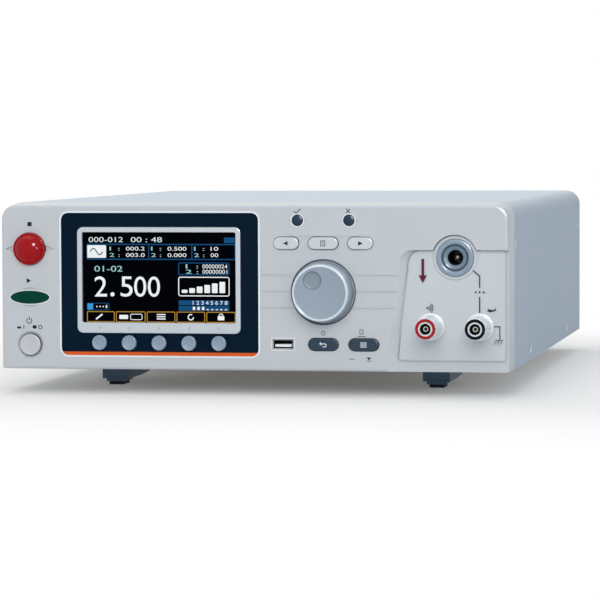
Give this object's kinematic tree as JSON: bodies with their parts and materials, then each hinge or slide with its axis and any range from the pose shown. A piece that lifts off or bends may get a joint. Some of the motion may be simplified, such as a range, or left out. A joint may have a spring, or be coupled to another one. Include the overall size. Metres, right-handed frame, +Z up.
{
  "type": "hipot tester",
  "caption": "Bench hipot tester: sheet cover, moulded front with display, soft keys, stop and start buttons, jog knob and recessed high-voltage terminals.",
  "frame": {"origin": "middle of the instrument's bounding box, on the surface that its feet stand on", "axes": "+X to the right as seen from the front, +Y from the front panel to the back, +Z up"},
  "size_m": [0.322, 0.4826, 0.1195],
  "materials": {
    "black_glass": "gloss screen window",
    "black_ring": "semi gloss",
    "black_rubber": "matt",
    "blue_grey_moulding": "satin",
    "blue_grey_plastic": "satin",
    "board_green": "solder mask",
    "core_iron": "laminated core",
    "cover_paint": "fine textured paint",
    "dark_plastic": "satin",
    "face_plastic": "fine moulded texture",
    "green_plastic": "semi gloss",
    "knob_plastic": "satin",
    "navy_plastic": "semi gloss",
    "nickelled_brass": "nickel plated",
    "orange_plastic": "satin",
    "output_moulding": "moulded",
    "pale_plastic": "satin",
    "plate_plastic": "satin",
    "plated_steel": "zinc plated",
    "raw_aluminium": "extruded",
    "rear_paint": "fine textured paint",
    "red_plastic": "gloss",
    "red_ring": "semi gloss",
    "silver_paint": "silver paint",
    "slate_plastic": "satin",
    "smoked_lens": "clear gloss",
    "white_insulator": "semi gloss",
    "winding_tape": "taped copper winding on a steel core"
  },
  "bodies": {
    "housing": {"accent_strip": "orange_plastic", "bottom_chassis": "plated_steel", "continuity_contact": "nickelled_brass", "continuity_ring": "red_ring", "continuity_sleeve": "white_insulator", "display_frame": "silver_paint", "display_panel": "navy_plastic", "display_window": "black_glass", "encoder_body": "plated_steel", "fail_lens": "smoked_lens", "fan_frame": "dark_plastic", "fan_guard": "plated_steel", "foot_pad_left": "black_rubber", "foot_pad_right": "black_rubber", "front_bezel": "face_plastic", "front_foot_left": "slate_plastic", "front_foot_right": "slate_plastic", "heat_sink": "raw_aluminium", "hv_contact": "nickelled_brass", "hv_socket": "blue_grey_moulding", "hv_transformer": "core_iron", "key_board": "board_green", "lcd_module": "plated_steel", "main_board": "board_green", "mains_inlet": "dark_plastic", "mains_transformer": "winding_tape", "output_block": "output_moulding", "pass_lens": "smoked_lens", "power_switch": "dark_plastic", "rear_foot_left": "black_rubber", "rear_foot_right": "black_rubber", "rear_panel": "rear_paint", "return_contact": "nickelled_brass", "return_ring": "black_ring", "return_sleeve": "white_insulator", "scanner_board": "board_green", "serial_port": "plated_steel", "signal_port": "plated_steel", "terminal_panel": "plate_plastic", "top_cover": "cover_paint", "usb_b_port": "plated_steel", "usb_socket": "plated_steel"},
    "soft_key_1": {"soft_key_1": "blue_grey_plastic"},
    "soft_key_2": {"soft_key_2": "blue_grey_plastic"},
    "soft_key_3": {"soft_key_3": "blue_grey_plastic"},
    "soft_key_4": {"soft_key_4": "blue_grey_plastic"},
    "soft_key_5": {"soft_key_5": "blue_grey_plastic"},
    "page_left_key": {"page_left_key": "pale_plastic"},
    "page_key": {"page_key": "pale_plastic"},
    "page_right_key": {"page_right_key": "pale_plastic"},
    "escape_key": {"escape_key": "slate_plastic"},
    "utility_key": {"utility_key": "slate_plastic"},
    "start_button": {"start_button": "green_plastic"},
    "stop_button": {"stop_button": "red_plastic"},
    "power_button": {"power_button": "pale_plastic"},
    "jog": {"jog_knob": "knob_plastic", "encoder_shaft": "plated_steel"},
    "tilt_leg_left": {"tilt_leg_left": "slate_plastic"},
    "tilt_leg_right": {"tilt_leg_right": "slate_plastic"},
    "fan_rotor": {"fan_rotor": "dark_plastic"}
  },
  "joints": [
    {"name": "soft_key_1_press", "type": "slide", "parent": "housing", "child": "soft_key_1", "axis": [0, 1, 0], "range_m": [0, 0.001], "stiffness_N_per_m": 250, "springref_m": -0.002},
    {"name": "soft_key_2_press", "type": "slide", "parent": "housing", "child": "soft_key_2", "axis": [0, 1, 0], "range_m": [0, 0.001], "stiffness_N_per_m": 250, "springref_m": -0.002},
    {"name": "soft_key_3_press", "type": "slide", "parent": "housing", "child": "soft_key_3", "axis": [0, 1, 0], "range_m": [0, 0.001], "stiffness_N_per_m": 250, "springref_m": -0.002},
    {"name": "soft_key_4_press", "type": "slide", "parent": "housing", "child": "soft_key_4", "axis": [0, 1, 0], "range_m": [0, 0.001], "stiffness_N_per_m": 250, "springref_m": -0.002},
    {"name": "soft_key_5_press", "type": "slide", "parent": "housing", "child": "soft_key_5", "axis": [0, 1, 0], "range_m": [0, 0.001], "stiffness_N_per_m": 250, "springref_m": -0.002},
    {"name": "page_left_key_press", "type": "slide", "parent": "housing", "child": "page_left_key", "axis": [0, 1, 0], "range_m": [0, 0.001], "stiffness_N_per_m": 250, "springref_m": -0.002},
    {"name": "page_key_press", "type": "slide", "parent": "housing", "child": "page_key", "axis": [0, 1, 0], "range_m": [0, 0.001], "stiffness_N_per_m": 250, "springref_m": -0.002},
    {"name": "page_right_key_press", "type": "slide", "parent": "housing", "child": "page_right_key", "axis": [0, 1, 0], "range_m": [0, 0.001], "stiffness_N_per_m": 250, "springref_m": -0.002},
    {"name": "escape_key_press", "type": "slide", "parent": "housing", "child": "escape_key", "axis": [0, 1, 0], "range_m": [0, 0.001], "stiffness_N_per_m": 250, "springref_m": -0.002},
    {"name": "utility_key_press", "type": "slide", "parent": "housing", "child": "utility_key", "axis": [0, 1, 0], "range_m": [0, 0.001], "stiffness_N_per_m": 250, "springref_m": -0.002},
    {"name": "start_button_press", "type": "slide", "parent": "housing", "child": "start_button", "axis": [0, 1, 0], "range_m": [0, 0.0015], "stiffness_N_per_m": 250, "springref_m": -0.002},
    {"name": "stop_button_press", "type": "slide", "parent": "housing", "child": "stop_button", "axis": [0, 1, 0], "range_m": [0, 0.0025], "stiffness_N_per_m": 250, "springref_m": -0.003},
    {"name": "power_button_press", "type": "slide", "parent": "housing", "child": "power_button", "axis": [0, 1, 0], "range_m": [0, 0.0036], "stiffness_N_per_m": 250, "springref_m": -0.004},
    {"name": "jog_turn", "type": "hinge", "parent": "housing", "child": "jog", "pos_m": [0.0452, -0.21935, 0.06442], "axis": [0, 1, 0], "continuous": true},
    {"name": "tilt_leg_left_fold", "type": "hinge", "parent": "housing", "child": "tilt_leg_left", "pos_m": [-0.105, -0.11735, 0.0083], "axis": [-1, 0, 0], "range_deg": [0, 100]},
    {"name": "tilt_leg_right_fold", "type": "hinge", "parent": "housing", "child": "tilt_leg_right", "pos_m": [0.105, -0.11735, 0.0083], "axis": [-1, 0, 0], "range_deg": [0, 100]},
    {"name": "fan_spin", "type": "hinge", "parent": "housing", "child": "fan_rotor", "pos_m": [0.112, 0.2226, 0.0675], "axis": [0, 1, 0], "continuous": true}
  ]
}
